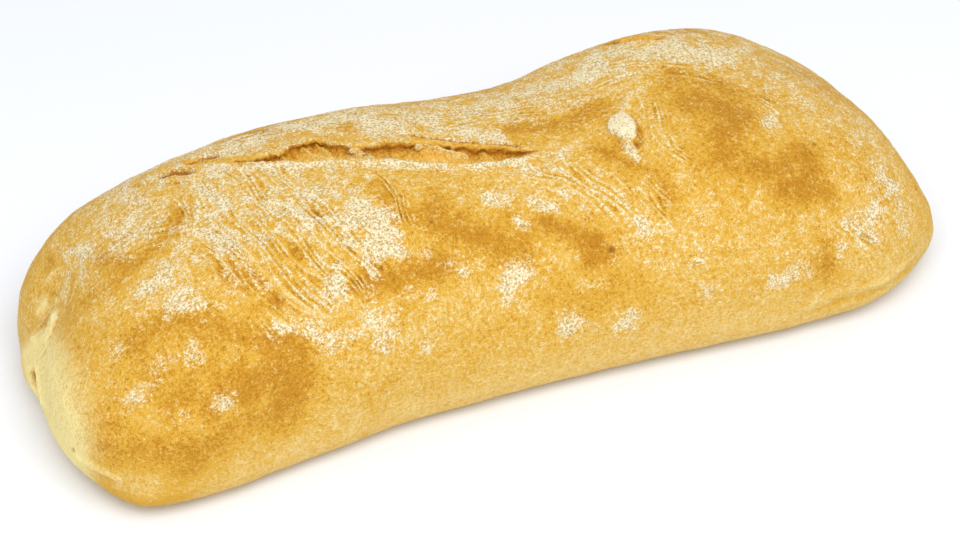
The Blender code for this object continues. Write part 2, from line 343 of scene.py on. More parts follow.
TEAR_SAMPLES = 200  # how many places a tear's lips are worked out at
TEAR_REACH = 9  # how far past its ends a tear changes the skin
LIP_MARGIN = 1.2  # how far outside its lips the skin beside a tear is measured
TOP = 40  # the tears and the pinch of dough lie above this height
SMOOTH_MARGIN = 5  # from this far outside a tear the solid's facets are smoothed fully
SMOOTH_LEVELS = 10  # how many steps the smoothing comes on in
WRINKLE_LEVEL = 0.3  # the share of a wrinkle's height that lies under the level of the skin
WRINKLE_FADE = 8  # over what length a band of wrinkles fades at its ends
CREASE_FADE = 2.5  # over what length a crease fades at its ends
DARKEST_CREASE = 2.2  # how dark the material takes a crease to be at most
PIT_DEPTH = 0.6  # how deep a burst bubble is
FOOT = 14  # the skin is smoothest below this height
CROWN = 36  # the skin is roughest above this height
SOLE = 1.5  # the sole stays flat below this height
BARE_FOOT = 4  # loose flour lies above this height
STRAY_GRAINS = 0.001  # how likely a grain is to lie on bare skin, next to skin covered in flour
GRAIN_LIFT = 0.08  # how far the middle of a grain stands off the skin, as a share of its width
FLOOR_GAP = 0.2  # how far the floor lies under the sole, so that the two are never in one plane

# The soft light's place, what it points at, and its width and depth, in metres
SOFTBOX_PLACE = (-0.1, -0.55, 0.95)
SOFTBOX_TARGET = (0, 0, 0.03)
SOFTBOX_SIZE = (1.2, 0.8)

# What the skin's points tell the crust's material
MASKS = ("flour", "brown", "pale", "low", "torn", "scorch", "crease", "deep", "wrinkled", "row", "run")

# Noises in the crust's material: the spacing of the swells, the detail and the roughness
CRUST_NOISES = {
    "broad": (14, 2.0, 0.5),
    "patchy": (4.2, 3.0, 0.6),
    "grain": (1.2, 2.0, 0.6),
    "grit": (0.55, 2.0, 0.65),  # coarser than real flour, so that it shows
    "speck": (0.8, 1.0, 0.5),
}


def linear(code):
    """The linear red, green and blue of an sRGB hex code."""
    shares = [int(code[at : at + 2], 16) / 255 for at in (0, 2, 4)]
    return tuple(share / 12.92 if share <= 0.04045 else ((share + 0.055) / 1.055) ** 2.4 for share in shares)


def colour(name, code, description):
    """A colour property."""
    return FloatVectorProperty(
        name=name, description=description, default=linear(code), size=3, min=0, max=1, subtype="COLOR"
    )


def length(name, size, description):
    """A length property, from a size in millimetres."""
    return FloatProperty(
        name=name, description=description, default=size * MM, min=0, precision=5, unit="LENGTH"
    )


def angle(name, degrees, description):
    """An angle property, from degrees."""
    return FloatProperty(name=name, description=description, default=math.radians(degrees), subtype="ANGLE")


def count(name, number, description):
    """A property that holds a whole number."""
    return IntProperty(name=name, description=description, default=number, min=1)


class CrustSettings(bpy.types.PropertyGroup):
    """The crust's shape and colours."""

    grid: length("Sculpting grid", 0.56, "Spacing of the points that the skin is shaped with")
    smoothing: count("Smoothing", 45, "How often the solid's facets are smoothed")
    swell: length("Swell", 0.5, "Height of the slow unevenness of hand-shaped dough")
    blister: length("Blisters", 0.16, "Height of the small blisters of the skin")
    triangles: count("Triangles", 196000, "Most triangles in the finished crust")
    scorched: colour("Scorched", "a06a1c", "Thin edges and burst bubbles")
    brown: colour("Brown", "c2861e", "Crust browned most")
    golden: colour("Golden", "deac3e", "Crust that is baked just right")
    light: colour("Light", "e9c678", "Crust low on the sides, which browns least")
    pale: colour("Pale", "fbe9a2", "Skin that hardly browned")
    flour: colour("Flour", "f6edcd", "Flour baked onto the skin")
    toasted: colour("Toasted flour", "bfa66c", "Flour that took up some of the crust's colour")
    torn: colour("Torn", "e4b24a", "Dough deep in the tears")
    crumb: colour("Crumb", "f0d078", "Dough that shows at the near lip of a tear")


class FlourSettings(bpy.types.PropertyGroup):
    """The loose flour on the crust."""

    grains: count("Grains", 7600, "How many grains lie on the crust")
    smallest: length("Smallest", 0.3, "Width of the smallest grain")
    largest: length("Largest", 0.75, "Width of the largest clump")
    tint: colour("Tint", "f5e8c0", "Colour of the flour")
    toasted: colour("Toasted", "ecd9a8", "Colour of the flour that the oven toasted")


class StageSettings(bpy.types.PropertyGroup):
    """The floor, the lights and the camera."""

    turn: angle("Turn", 22.73, "How far the camera stands to the left")
    elevation: angle("Elevation", 40, "How far the camera looks down")
    distance: FloatProperty(name="Distance", description="Camera to loaf", default=0.7392, unit="LENGTH")
    lens: FloatProperty(name="Lens", description="Focal length in millimetres", default=85, min=1)
    aim: FloatVectorProperty(
        name="Aim", description="Where the camera looks", default=(-0.0029, -0.0107, 0.02), subtype="XYZ"
    )
    floor: FloatProperty(name="Floor", description="Width of the floor", default=4, unit="LENGTH")
    paper: colour("Paper", "f1f4fa", "Colour of the floor")
    ambient: FloatProperty(name="Ambient", description="Brightness of the white room", default=0.66, min=0)
    key: FloatProperty(name="Key light", description="Power of the soft light, in watts", default=9.5, min=0)


def rough(points, spacing, seed):
    """Soft noise from -1 to 1 at every point, with a swell about every spacing."""
    return np.array([noise.noise(place) for place in (points / spacing + seed * 17.3).tolist()])


def layered(points, layers, start=0.0):
    """Layers of noise at every point, added to a start."""
    return sum((strength * rough(points, spacing, seed) for spacing, strength, seed in layers), start)


def eased(share):
    """A share from 0 to 1 that starts and ends gently."""
    share = np.clip(share, 0, 1)
    return share * share * (3 - 2 * share)


def bell(away):
    """1 at no distance, falling softly to 0 over a distance of about 2."""
    return np.exp(-(away**2))


def raise_to(values, near, lowest):
    """Lift some of the values to the lowest that each may have."""
    values[near] = np.maximum(values[near], lowest)


def beside_line(points, line):
    """How far along a line each point lies, and how far beside it, with a sign for the side."""
    line = np.array(line, dtype=float)
    if len(line) == 1:
        return np.zeros(len(points)), np.linalg.norm(points - line[0], axis=1)
    nearest = np.full(len(points), np.inf)
    along = np.zeros(len(points))
    beside = np.zeros(len(points))
    walked = 0.0
    for start, end in zip(line, line[1:]):
        step = end - start
        size = np.linalg.norm(step)
        share = np.clip((points - start) @ step / size**2, 0, 1)
        offset = points - start - share[:, None] * step
        away = np.linalg.norm(offset, axis=1)
        closer = away < nearest
        nearest[closer] = away[closer]
        along[closer] = walked + share[closer] * size
        side = np.sign(step[0] * offset[:, 1] - step[1] * offset[:, 0])
        beside[closer] = (side * away)[closer]
        walked += size
    return along, beside


def close_to(points, line, reach):
    """Which points lie in the box round a line, this far out."""
    line = np.array(line, dtype=float)
    inside = (points > line.min(axis=0) - reach) & (points < line.max(axis=0) + reach)
    return np.flatnonzero(inside.all(axis=1))


def spotted(points, spots, wobble):
    """How strongly soft spots cover every point, from 0 to 1; the wobble makes their rims uneven."""
    bare = np.ones(len(points))
    for reach, strength, *line in spots:
        near = close_to(points, line, 3.5 * reach)
        away = beside_line(points[near], line)[1] / reach
        bare[near] *= 1 - strength * bell(away * (1 + wobble[near]))
    return 1 - bare


class Tear:
    """A tear's two lips, and where points lie in relation to them."""

    def __init__(self, tear, skin):
        self.depth = tear["depth"]
        self.overhang = tear["overhang"]
        self.strips = tear["strips"]
        near, far = [np.array(tear[lip]) + TEAR_ORIGIN for lip in ("near", "far")]
        self.x = np.linspace(near[0, 0], near[-1, 0], TEAR_SAMPLES)
        self.near = np.interp(self.x, *near.T)
        self.far = np.interp(self.x, *far.T)
        self.near_height = self.skin_height(skin, self.near - LIP_MARGIN)
        self.far_height = self.skin_height(skin, self.far + LIP_MARGIN)

    def skin_height(self, skin, line):
        """The height of the skin along a line beside the tear."""
        places = zip(self.x.tolist(), line.tolist())
        hits = [skin.ray_cast(Vector((x, y, 100)) * MM, Vector((0, 0, -1)))[0] for x, y in places]
        return np.array([hit.z / MM for hit in hits])

    def measure(self, points):
        """For every point: distance along, distance from the middle towards the far lip, half the gape
        there, depth under the skin, and distance past the tear's ends."""
        x, y, z = points.T
        held = np.clip(x, self.x[0], self.x[-1])
        lines = (self.near, self.far, self.near_height, self.far_height)
        near, far, near_height, far_height = [np.interp(held, self.x, line) for line in lines]
        side = y - (near + far) / 2
        gape = (far - near) / 2
        across = np.clip((side / (gape + LIP_MARGIN) + 1) / 2, 0, 1)
        depth = near_height + (far_height - near_height) * across - z
        return held - self.x[0], side, gape, depth, np.abs(x - held)


def vectors(items, name):
    """A mesh list's vectors as an array."""
    values = np.empty(len(items) * 3, dtype=np.float32)
    items.foreach_get(name, values)
    return values.reshape(-1, 3).astype(float)


def applied(piece, kind, **settings):
    """The piece's mesh changed by one modifier."""
    modifier = piece.modifiers.new(kind.title(), kind)
    for name, value in settings.items():
        setattr(modifier, name, value)
    evaluated = piece.evaluated_get(bpy.context.evaluated_depsgraph_get())
    old = piece.data
    piece.data = bpy.data.meshes.new_from_object(evaluated)
    piece.modifiers.clear()
    bpy.data.meshes.remove(old)


def linked(name, data):
    """A new object in the scene."""
    made = bpy.data.objects.new(name, data)
    bpy.context.scene.collection.objects.link(made)
    return made


def drop_specks(mesh):
    """Only the mesh's main body is kept, without the specks that the fine grid can leave inside it."""
    shape = bmesh.new()
    shape.from_mesh(mesh)
    top = max(shape.verts, key=lambda vert: vert.co.z)
    body = {top}
    reached = [top]
    while reached:
        vert = reached.pop()
        for edge in vert.link_edges:
            other = edge.other_vert(vert)
            if other not in body:
                body.add(other)
                reached.append(other)
    specks = [vert for vert in shape.verts if vert not in body]
    bmesh.ops.delete(shape, geom=specks, context="VERTS")
    shape.to_mesh(mesh)
    shape.free()


def raw_crust(settings):
    """A fine, even copy of the solid, its facets smoothed away except in the tears, and those tears."""
    copy = bmesh.new()
    copy.from_mesh(LOAF.data)
    bmesh.ops.remove_doubles(copy, verts=copy.verts, dist=0.001 * MM)
    data = bpy.data.meshes.new("crust")
    copy.to_mesh(data)
    copy.free()
    crust = linked("crust", data)
    applied(crust, "REMESH", mode="VOXEL", voxel_size=settings.grid, use_smooth_shade=True)

    points = vectors(crust.data.vertices, "co") / MM
    skin = BVHTree.FromObject(LOAF, bpy.context.evaluated_depsgraph_get())
    tears = {name: Tear(tear, skin) for name, tear in TEARS.items()}
    soft = np.ones(len(points))
    for tear in tears.values():
        _, side, gape, depth, past = tear.measure(points)
        beyond = np.maximum(np.abs(side) - gape - tear.overhang, 0) + past
        soft *= eased((beyond + np.maximum(depth - tear.depth, 0)) / SMOOTH_MARGIN)
    group = crust.vertex_groups.new(name="soft")
    for level in range(1, SMOOTH_LEVELS + 1):
        inside = np.flatnonzero(np.round(soft * SMOOTH_LEVELS) == level)
        group.add(inside.tolist(), level / SMOOTH_LEVELS, "REPLACE")
    applied(crust, "SMOOTH", factor=0.5, iterations=settings.smoothing, vertex_group="soft")
    return crust, tears


def beside_lips(side, gape, near_lip, far_lip):
    """A swell outside each lip of a tear."""
    out, reach, strength = near_lip
    swell = strength * bell((side + gape + out) / reach)
    out, reach, strength = far_lip
    return swell + strength * bell((side - gape - out) / reach)


def lay_strands(torn, near, flat, upward, depth, within, sunk):
    """Lay the strands of dough that bridge the seam into what the tears do."""
    for start, end, wide, high, floury in STRANDS:
        strand = bell(beside_line(flat, [(*start, 0), (*end, 0)])[1] / wide) * within
        lift = np.minimum(high * strand, np.maximum(depth - 0.3, 0))
        torn["rise"][near] += lift * eased(depth / 1.5) * upward
        raise_to(torn["dusted"], near, floury * strand * sunk)
        torn["inside"][near] *= 1 - floury * strand


def tear_shape(points, normals, tears):
    """What the tears do to every point, by name: how far inside one it is, its shift across and its rise,
    how floury a lip or a strand makes it, how bare a strip makes it, and how far under a far lip it is,
    which the material darkens as painted shade."""
    names = ("inside", "shift", "rise", "dusted", "opened", "deep")
    torn = {name: np.zeros(len(points)) for name in names}
    x, _, z = points.T
    for name, tear in tears.items():
        beside = (x > tear.x[0] - TEAR_REACH) & (x < tear.x[-1] + TEAR_REACH)
        near = np.flatnonzero(beside & (z > TOP))
        here = points[near]
        along, side, gape, depth, past = tear.measure(here)
        outside = np.abs(side) - gape
        within = (outside < tear.overhang + 1) & (past < 1.5)
        sunk = np.where(within, eased((depth - 0.25 - 0.4 * np.maximum(outside, 0)) / 0.9), 0)
        ends = bell(past / 1.5) * np.minimum(gape / 1.5, 1)

        # The lips are ragged, curl up a little and hold flour
        edge = bell(outside / 1.3) * (depth < tear.depth)
        lane = np.stack([along, np.sign(side) * 9, np.zeros(len(near))], axis=1)
        torn["shift"][near] += edge * ends * layered(lane, RAGGED_LIPS)
        torn["rise"][near] += beside_lips(side, gape, **LIP_CURL) * ends * (1 - sunk)
        worn = 0.75 + 0.7 * rough(here, 5, 16)
        rim = worn * beside_lips(side, gape, **LIP_FLOUR)
        raise_to(torn["dusted"], near, rim * ends * (1 - sunk))

        # The dough inside was pulled across the gap into fibres
        lane = np.stack([(along + 0.3 * side) / 1.4, side / 5, depth / 3], axis=1)
        fibres = 0.5 * rough(lane, 1, 3)
        torn["rise"][near] += sunk * layered(here, TORN_CRUMB, fibres)
        raise_to(torn["inside"], near, sunk)
        # How far towards the far lip the dough lies, for the shade painted under that lip
        raise_to(torn["deep"], near, eased((side + 0.4 * gape) / (1.6 * gape + 0.6)) * sunk)

        # Strips behind the far lip opened so little that their dough is only bare
        strip = sum(wide * bell((along - at) / long) for at, long, wide in tear.strips)
        behind = strip + 0.8 * rough(here, 4, 15)
        shallow = eased((gape + behind - side) / 1.2) * eased((side + gape + 0.5) / 0.8)
        shallow = shallow * (past < 2) * (depth < 2)
        raise_to(torn["opened"], near, shallow * eased(strip - 0.4))
        # The bare strips behind the far lip get half of that painted shade
        raise_to(torn["deep"], near, 0.5 * torn["opened"][near])
        if name == "seam":
            upward = normals[near, 2] > 0.2
            lay_strands(torn, near, here * (1, 1, 0), upward, depth, within, sunk)
    return torn


def wrinkle_shape(points):
    """How the bands of wrinkles lift the skin, how deep a point lies in a groove, which the material darkens
    as painted shade, how wrinkled it is, and its place across and along its band, which the material
    follows."""
    move, groove, strongest, second, row, run = np.zeros((6, len(points)))
    for seed, (reach, spacing, height, *line) in enumerate(WRINKLES):
        near = close_to(points, line, reach * 3)
        here = points[near]
        along, beside = beside_line(here, line)
        lane = np.stack([along / WRINKLE_STRETCH, beside / spacing, np.zeros(len(near))], axis=1)
        sway = 1.4 * rough(here, 20, 20 + seed) + 1.2 * rough(lane * (1.6, 0.5, 1), 1, 40 + seed)
        across = beside / spacing + sway
        ridges = 1 - np.abs(np.sin(np.pi * across))

        # The wrinkles come and go along the band, and fade at its rims and ends
        broken = eased(0.75 + 1.5 * rough(lane * (0.8, 0.7, 1), 1, 60 + seed))
        broken *= eased(0.85 + 1.4 * rough(lane * (2.5, 0.3, 1), 1, 90 + seed))
        rim = reach * (1 + 0.5 * rough(here, 12, 80 + seed))
        fade = broken * bell((beside / rim) ** 2)
        fade = fade * eased(along / WRINKLE_FADE) * eased((along.max() - along) / WRINKLE_FADE)
        drawn = fade * height
        move[near] += drawn * (ridges - WRINKLE_LEVEL)
        # How deep in a groove a point lies, for the shade that the material paints there
        groove[near] += drawn * (WRINKLE_LEVEL - ridges)

        # Where two bands meet, the material follows the stronger one
        wins = drawn > strongest[near]
        second[near] = np.where(wins, strongest[near], np.maximum(second[near], drawn))
        raise_to(strongest, near, drawn)
        row[near[wins]] = across[wins]
        run[near[wins]] = along[wins]
    return move, groove, eased((strongest - second) * 5), row, run


def crease_shape(points):
    """How the cracks and folds move the skin, and how much they darken the crust's colour, partly with their
    own brown and partly with painted shade.
    """
    move, dark = np.zeros((2, len(points)))
    for seed, (width, depth, darkness, *line) in enumerate(CREASES):
        near = close_to(points, line, width * 5)
        along, beside = beside_line(points[near], line)
        beside = beside + 0.6 * rough(points[near], 5, 100 + seed)
        ends = eased(along / CREASE_FADE) * eased((along.max() - along) / CREASE_FADE)
        cut = bell(beside / width) * ends
        move[near] -= depth * cut
        dark[near] += cut * darkness
    return move, dark


def bubble_shape(points):
    """How the burst bubbles pit the skin, and how scorched they are."""
    move, scorch = np.zeros((2, len(points)))
    for *place, wide in BUBBLES:
        near = close_to(points, [place], wide * 3)
        pit = bell((np.linalg.norm(points[near] - place, axis=1) / wide) ** 2)
        move[near] -= PIT_DEPTH * pit
        raise_to(scorch, near, pit)
    return move, scorch


def pinch_shape(points):
    """How the pinch of dough stands up, how floury it is, and the skin drawn in around it, with the shadow
    that the material paints into it.
    """
    x, y, wide, long = PINCH
    flat = (points[:, :2] - (x, y)) / (wide, long)
    away = np.linalg.norm(flat, axis=1) + (points[:, 2] < TOP) * 9
    near = np.flatnonzero(away < 3)
    away[near] += layered(points[near], PINCH_OUTLINE)
    top = 1 - eased((away - 0.75) / 0.4)
    rim = bell((away - 0.9) / 0.22)
    # The skin is drawn in on the front and right-hand side only, where the material paints the pinch's
    # shadow
    drawn = bell((away - 1.35) / 0.22) * eased(0.5 - 0.6 * flat[:, 1] + 0.3 * flat[:, 0])
    move = 1.1 * top + 0.3 * rim - 0.5 * drawn
    return move, 1 - eased((away - 0.7) / 0.5), drawn


def baked_masks(points, torn, capped):
    """How floury, how brown and how pale the skin is at every point."""
    _, y, z = points.T
    wobble = np.clip(layered(points, PATCH_RIMS), -0.5, 1)
    behind = eased((y - 20) / 25) * eased((z - 30) / 25)  # the back, which has broad patches of its own
    brown = spotted(points, BROWNED, 0.5 * wobble)
    pale = spotted(points, PALE, 0.15 * wobble)

    # Flour lies in patches, with a thin haze between them, and less of it on brown skin
    patches = eased(layered(points, FLOUR_PATCHES, 0.5))
    haze = 0.04 + (0.1 + 0.14 * patches) * eased((z - 28) / 20)
    haze += 0.5 * spotted(points, HAZY, 0.3 * wobble) * (0.4 + 0.8 * patches)
    flour = np.maximum(spotted(points, FLOURED, wobble) * (0.8 + 0.2 * patches), haze)
    flour = np.maximum(flour, eased(rough(points, 22, 11) * 1.6 + 0.25) * 0.6 * behind)
    flour = (flour - 0.3 * brown * (1 - flour)) * (1 - torn["inside"]) * (1 - torn["opened"])
    flour = np.maximum(np.maximum(flour, torn["dusted"]), 1.2 * capped)

    brown = np.maximum(brown, eased(rough(points, 30, 12) * 1.5 + 0.1) * 0.5 * behind)
    return flour, brown * (1 - pale) * (1 - capped), pale


def sculpt(crust, tears, settings):
    """The skin's swells, wrinkles, cracks and blisters, and the masks that colour it."""
    mesh = crust.data
    points = vectors(mesh.vertices, "co") / MM
    normals = vectors(mesh.vertex_normals, "vector")
    z = points[:, 2]
    torn = tear_shape(points, normals, tears)
    wrinkles, groove, wrinkled, row, run = wrinkle_shape(points)
    folds, dark = crease_shape(points)
    pits, scorch = bubble_shape(points)
    pinch, capped, drawn = pinch_shape(points)

    crown = eased((z - FOOT) / (CROWN - FOOT))
    swells = settings.swell / MM * layered(points, DOUGH_SWELLS)
    pebbles = settings.blister / MM * layered(points, SKIN_PEBBLES) * (0.35 + 0.65 * crown)
    skin = swells + pebbles + (wrinkles + folds) * (1 - capped) + pits + pinch
    rise = (torn["rise"] + skin * (1 - torn["inside"])) * eased(z / SOLE)
    moved = points + normals * rise[:, None]
    moved[:, 1] += torn["shift"]
    moved[:, 2] = np.maximum(moved[:, 2], 0)
    mesh.vertices.foreach_set("co", (moved * MM).astype(np.float32).ravel())
    mesh.update()

    flour, brown, pale = baked_masks(points, torn, capped)
    low = eased((30 - z) / 26)  # fully low near the foot, and not at all from 30 mm up
    opened = np.maximum(torn["inside"], torn["opened"])
    # Painted shade for the material: the wrinkles' grooves, the cracks and folds (partly their own brown),
    # and the shadow beside the pinch of dough
    crease = np.clip(groove + (dark + drawn), -1, DARKEST_CREASE)
    masks = (flour, brown, pale, low, opened, scorch, crease, torn["deep"], wrinkled, row, run)
    for name, values in zip(MASKS, masks):
        attribute = mesh.attributes.new(name, "FLOAT", "POINT")
        attribute.data.foreach_set("value", values.astype(np.float32))


def add(tree, kind, links=None, output=0, **settings):
    """An output of a new shader node; links gives each input a value, or another node's output."""
    node = tree.nodes.new("ShaderNode" + kind)
    for name, value in settings.items():
        setattr(node, name, value)
    for key, value in (links or {}).items():
        if isinstance(value, bpy.types.NodeSocket):
            tree.links.new(value, node.inputs[key])
        else:
            node.inputs[key].default_value = value
    return node.outputs[output]


def weighed(tree, parts, start, **shares):
    """A start, with every named part added to it by its share."""
    total = start
    for name, share in shares.items():
        total = add(tree, "Math", {0: parts[name], 1: share, 2: total}, operation="MULTIPLY_ADD")
    return total


def coated(tree, base, coat, value, low, high, most=1.0):
    """A base colour under a coat that comes on softly as a value goes from low to high."""
    links = {"Value": value, "From Min": low, "From Max": high, "To Max": most}
    cover = add(tree, "MapRange", links, interpolation_type="SMOOTHSTEP")
    return add(tree, "Mix", {0: cover, 6: base, 7: coat}, 2, data_type="RGBA")


def new_material(name):
    """An empty node material, its node tree and its shader."""
    material = bpy.data.materials.new(name)
    material.use_nodes = True
    tree = material.node_tree
    return material, tree, tree.nodes["Principled BSDF"]


def flake_cracks(tree, place):
    """The cracks between the flakes that the thin skin of flour broke into as the dough rose under it."""
    drift = add(tree, "TexNoise", {"Vector": place, "Scale": 1 / (3 * MM), "Detail": 3.0}, "Color")
    links = {0: drift, 1: (2.4 * MM, 2.4 * MM, 2.4 * MM), 2: place}
    warped = add(tree, "VectorMath", links, operation="MULTIPLY_ADD")
    links = {"Vector": warped, "Scale": 1 / (2.6 * MM)}
    flakes = add(tree, "TexVoronoi", links, feature="DISTANCE_TO_EDGE")
    links = {"Value": flakes, "From Min": 0.0, "From Max": 0.16, "To Min": 1.0, "To Max": 0.0}
    return add(tree, "MapRange", links, interpolation_type="SMOOTHSTEP")


def wrinkle_lines(tree, parts):
    """The wrinkles' floury crests, painted lighter, with painted shade in the grooves between them, and the
    streaks along the wrinkles.
    """
    row = weighed(tree, parts, parts["row"], grain=0.6)
    wave = add(tree, "Math", {0: row, 1: math.pi}, operation="MULTIPLY")
    wave = add(tree, "Math", {0: wave}, operation="SINE")
    wave = add(tree, "Math", {0: wave}, operation="ABSOLUTE")
    crest = add(tree, "Math", {0: 0.7, 1: wave}, operation="SUBTRACT")
    ridge = add(tree, "Math", {0: crest, 1: parts["wrinkled"]}, operation="MULTIPLY")

    across = add(tree, "Math", {0: row, 1: 1.9}, operation="MULTIPLY")
    along = add(tree, "Math", {0: parts["run"], 1: 0.1}, operation="MULTIPLY")
    lane = add(tree, "CombineXYZ", {"X": across, "Y": along})
    streak = add(tree, "TexNoise", {"Vector": lane, "Scale": 1.0, "Detail": 2.0, "Roughness": 0.6})
    streak = add(tree, "Math", {0: streak, 1: 0.5}, operation="SUBTRACT")
    return ridge, add(tree, "Math", {0: streak, 1: parts["wrinkled"]}, operation="MULTIPLY")


def crust_material(settings):
    """Baked wheat crust: matt, with a faint sheen where it browned, and flour baked onto it."""
    material, tree, shader = new_material("baked_wheat_crust")
    names = ("scorched", "brown", "golden", "light", "pale", "flour", "toasted", "torn", "crumb")
    shades = {name: (*getattr(settings, name), 1.0) for name in names}
    place = add(tree, "TexCoord", output="Object")
    parts = {name: add(tree, "Attribute", output="Fac", attribute_name=name) for name in MASKS}
    for name, (spacing, detail, roughness) in CRUST_NOISES.items():
        links = {"Vector": place, "Scale": 1 / (spacing * MM), "Detail": detail, "Roughness": roughness}
        cloud = add(tree, "TexNoise", links)
        parts[name] = add(tree, "Math", {0: cloud, 1: 0.5}, operation="SUBTRACT")
    parts["crack"] = flake_cracks(tree, place)
    parts["ridge"], parts["streak"] = wrinkle_lines(tree, parts)

    # How light the crust is: 0 where it is brownest, 1 where it stayed pale, with painted light on the
    # wrinkles' crests and painted shade in their grooves and the creases. Browned skin is more even.
    level = weighed(tree, parts, 0.54, flour=0.08, brown=-0.43, low=0.2, ridge=0.5, streak=1.3, crease=-0.4)
    noises = weighed(tree, parts, 0.0, broad=0.3, patchy=0.6, grain=1.2, grit=1.2)
    calm = weighed(tree, parts, 1.0, brown=-0.45, low=-0.35)
    level = add(tree, "Math", {0: noises, 1: calm, 2: level}, operation="MULTIPLY_ADD")
    base = coated(tree, shades["scorched"], shades["brown"], level, -0.2, 0.1)
    base = coated(tree, base, shades["golden"], level, 0.05, 0.45)
    base = coated(tree, base, shades["light"], level, 0.45, 0.8)
    base = coated(tree, base, shades["pale"], level, 0.8, 1.15)

    # Flour: a broken film, thick where the grain of the skin held it, with darker specks in it
    thick = add(tree, "Math", {0: parts["flour"], 1: 1.0}, operation="SUBTRACT")
    parts["thick"] = add(tree, "Math", {0: thick, 1: 0.0}, operation="MAXIMUM")
    toast = weighed(tree, parts, 0.5, speck=2.8, grit=1.4, thick=1.0)
    tint = coated(tree, shades["toasted"], shades["flour"], toast, 0.05, 0.75)
    held = {"ridge": 0.6, "streak": 1.1, "grit": 1.1, "grain": 1.4, "patchy": 1.0, "crack": -0.2}
    film = weighed(tree, parts, parts["flour"], **held)
    base = coated(tree, base, tint, film, 0.12, 0.88, 0.94)

    # Pale skin, the bare dough in the tears with painted shade under the far lip, the cracks and grooves
    # darkened partly by painted shade, and the dark burst bubbles
    pale = coated(tree, shades["light"], shades["pale"], level, 0.1, 0.7)
    base = coated(tree, base, pale, parts["pale"], 0.1, 0.9)
    # Painted shade: the dough darkens towards the far lip, and the lighter crumb colour is left at the near
    # lip
    bared = weighed(tree, parts, level, deep=-0.45)
    torn = coated(tree, shades["brown"], shades["torn"], bared, -0.1, 0.35)
    torn = coated(tree, torn, shades["crumb"], bared, 0.35, 0.8)
    base = add(tree, "Mix", {0: parts["torn"], 6: base, 7: torn}, 2, data_type="RGBA")
    # Painted shade in the cracks and grooves, partly the cracks' own brown: they go towards scorched
    base = coated(tree, base, shades["scorched"], parts["crease"], 0.6, 1.7, 0.9)
    base = add(tree, "Mix", {0: parts["scorch"], 6: base, 7: shades["scorched"]}, 2, data_type="RGBA")

    rise = weighed(tree, parts, 0.0, grain=1.5, grit=1.2, ridge=0.5, streak=1.2, crack=-0.25)
    relief = add(tree, "Bump", {"Strength": 0.8, "Distance": 0.55 * MM, "Height": rise})
    links = {"Value": level, "From Min": 0.2, "From Max": 0.8, "To Min": 0.6, "To Max": 0.95}
    matt = add(tree, "MapRange", links, interpolation_type="SMOOTHSTEP")
    tree.links.new(base, shader.inputs["Base Color"])
    tree.links.new(relief, shader.inputs["Normal"])
    tree.links.new(matt, shader.inputs["Roughness"])
    shader.inputs["IOR"].default_value = 1.45
    shader.inputs["Specular IOR Level"].default_value = 0.2
    return material


def flour_material(settings):
    """Wheat flour: a dead matt powder, cream where it toasted a little."""
    material, tree, shader = new_material("toasted_wheat_flour")
    place = add(tree, "TexCoord", output="Object")
    drift = add(tree, "TexNoise", {"Vector": place, "Scale": 1 / (3 * MM), "Detail": 2.0})
    links = {0: drift, 6: (*settings.tint, 1.0), 7: (*settings.toasted, 1.0)}
    tinted = add(tree, "Mix", links, 2, data_type="RGBA")
    tree.links.new(tinted, shader.inputs["Base Color"])
    shader.inputs["Roughness"].default_value = 1.0
    shader.inputs["IOR"].default_value = 1.3
    return material


def paper_material(settings):
    """Studio background paper: white and quite matt, so that the floor shows nothing but soft shadows."""
    material, _, shader = new_material("white_studio_paper")
    shader.inputs["Base Color"].default_value = (*settings.paper, 1.0)
    shader.inputs["Roughness"].default_value = 1.0
    shader.inputs["Specular IOR Level"].default_value = 0.0
    return material


def grain_places(mesh, draw, grains):
    """Places for loose grains, most of them where the crust is floury, and which way is out at each."""
    mesh.calc_loop_triangles()
    corners = np.empty(len(mesh.loop_triangles) * 3, dtype=np.int32)
    mesh.loop_triangles.foreach_get("vertices", corners)
    corners = corners.reshape(-1, 3)
    points = vectors(mesh.vertices, "co")
    normals = vectors(mesh.vertex_normals, "vector")
    floury = np.empty(len(points), dtype=np.float32)
    mesh.attributes["flour"].data.foreach_get("value", floury)
    a, b, c = points[corners[:, 0]], points[corners[:, 1]], points[corners[:, 2]]
    areas = np.linalg.norm(np.cross(b - a, c - a), axis=1)
    likely = floury[corners].mean(axis=1) ** 3 + STRAY_GRAINS
    weight = areas * likely * (a[:, 2] > BARE_FOOT * MM)
    chosen = draw.choice(len(corners), size=grains, p=weight / weight.sum())
    shares = draw.dirichlet((1, 1, 1), size=grains)
    places = (points[corners[chosen]] * shares[:, :, None]).sum(axis=1)
    ups = (normals[corners[chosen]] * shares[:, :, None]).sum(axis=1)
    return places, ups


